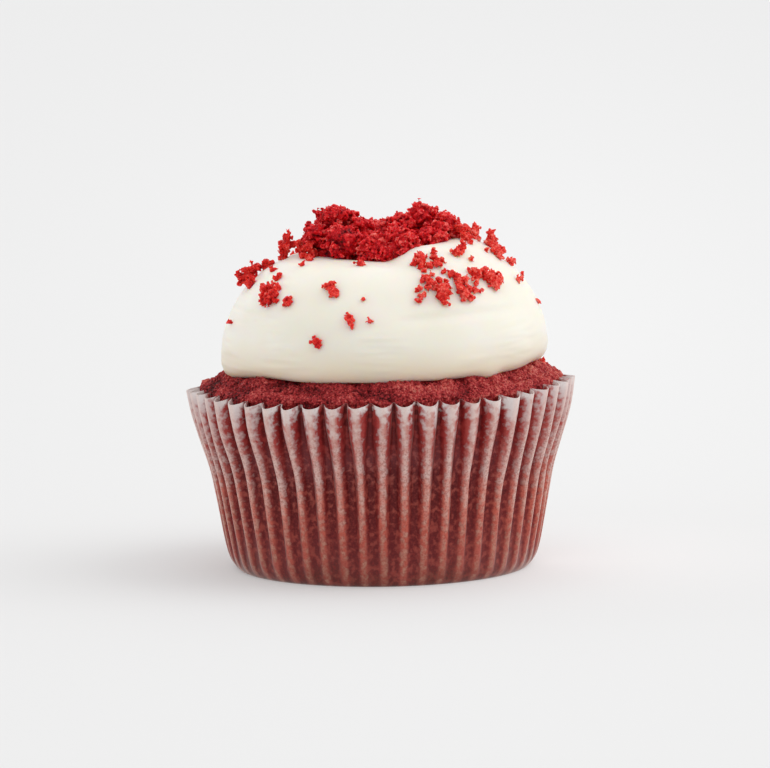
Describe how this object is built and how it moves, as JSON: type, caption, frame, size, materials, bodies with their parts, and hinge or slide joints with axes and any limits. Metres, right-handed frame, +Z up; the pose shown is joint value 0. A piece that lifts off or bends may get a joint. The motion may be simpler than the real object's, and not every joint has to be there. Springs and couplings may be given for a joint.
{
  "type": "cupcake",
  "caption": "Frosted cupcake: a domed red sponge in a fluted paper case, with a smooth dome of cream frosting whose hollow holds a heap of red sponge crumbs.",
  "frame": {"origin": "centre of the paper case's flat base, on the surface that the cupcake stands on", "axes": "+Z up through the middle of the cupcake; -Y is the front, where the swirl of the frosting steps up; +X is to the right of someone facing the front"},
  "size_m": [0.0678, 0.0678, 0.0636],
  "materials": {
    "paper": "greaseproof baking paper, thin and translucent, white at the rim and reddened where the sponge sticks to it",
    "sponge": "baked red sponge, a fine open crumb with a slightly browned crust",
    "frosting": "soft cream cheese frosting, off-white, smooth and satiny",
    "crumbs": "crumbled red sponge, moist, jagged and open"
  },
  "bodies": {
    "root": {"paper_case": "paper", "cake": "sponge", "frosting": "frosting", "crumb_heap": "crumbs"}
  },
  "joints": []
}
